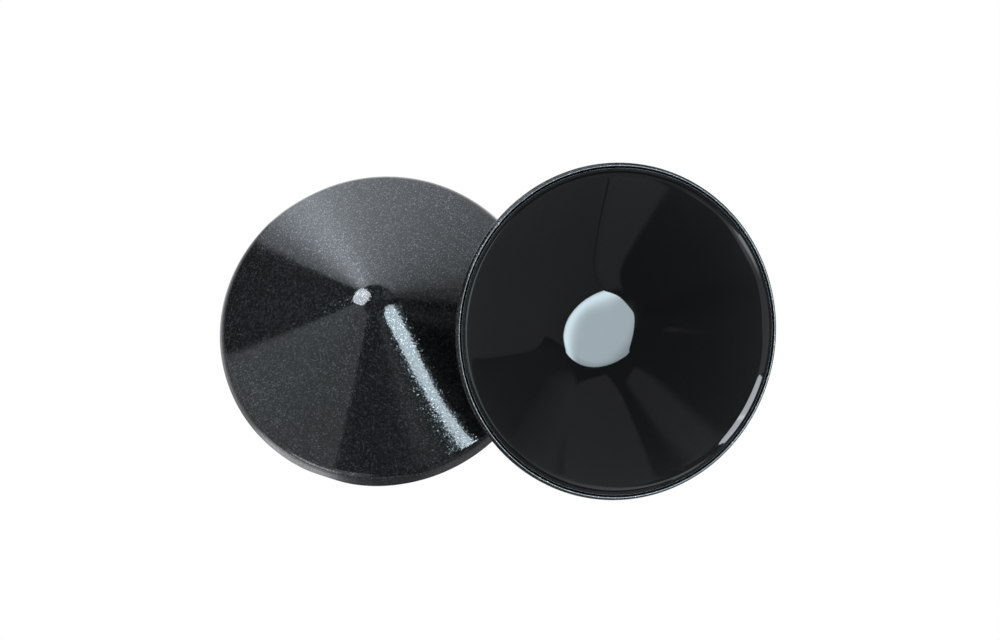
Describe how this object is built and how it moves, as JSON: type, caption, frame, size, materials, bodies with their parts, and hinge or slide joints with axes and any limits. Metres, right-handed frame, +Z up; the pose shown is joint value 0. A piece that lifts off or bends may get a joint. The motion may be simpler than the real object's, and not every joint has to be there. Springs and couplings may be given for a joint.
{
  "type": "pair of conical covers",
  "caption": "Shallow conical cover with short skirt and rounded tip, speckled black outside, gloss black inside, standing on its rim beside a matching cover tipped on its flank.",
  "frame": {"origin": "on the surface that the covers lie on, under the centre of the pair's bounding box", "axes": "+Z up; +X from the axis of the cover that rests on its rim towards the tip of the tipped cover; the tipped cover faces towards +X and -Y"},
  "size_m": [0.1698, 0.1074, 0.0521],
  "materials": {
    "flake_lacquer": "black lacquer with fine silver metal flake under a clear gloss coat",
    "gloss_liner": "deep gloss black"
  },
  "bodies": {
    "resting_cover": {"resting_cover_shell": "flake_lacquer", "resting_cover_liner": "gloss_liner"},
    "tipped_cover": {"tipped_cover_shell": "flake_lacquer", "tipped_cover_liner": "gloss_liner"}
  },
  "joints": [
    {"name": "tipped_cover_lift", "type": "slide", "parent": "resting_cover", "child": "tipped_cover", "axis": [0, 0, 1], "range_m": [0, 0.06]}
  ]
}
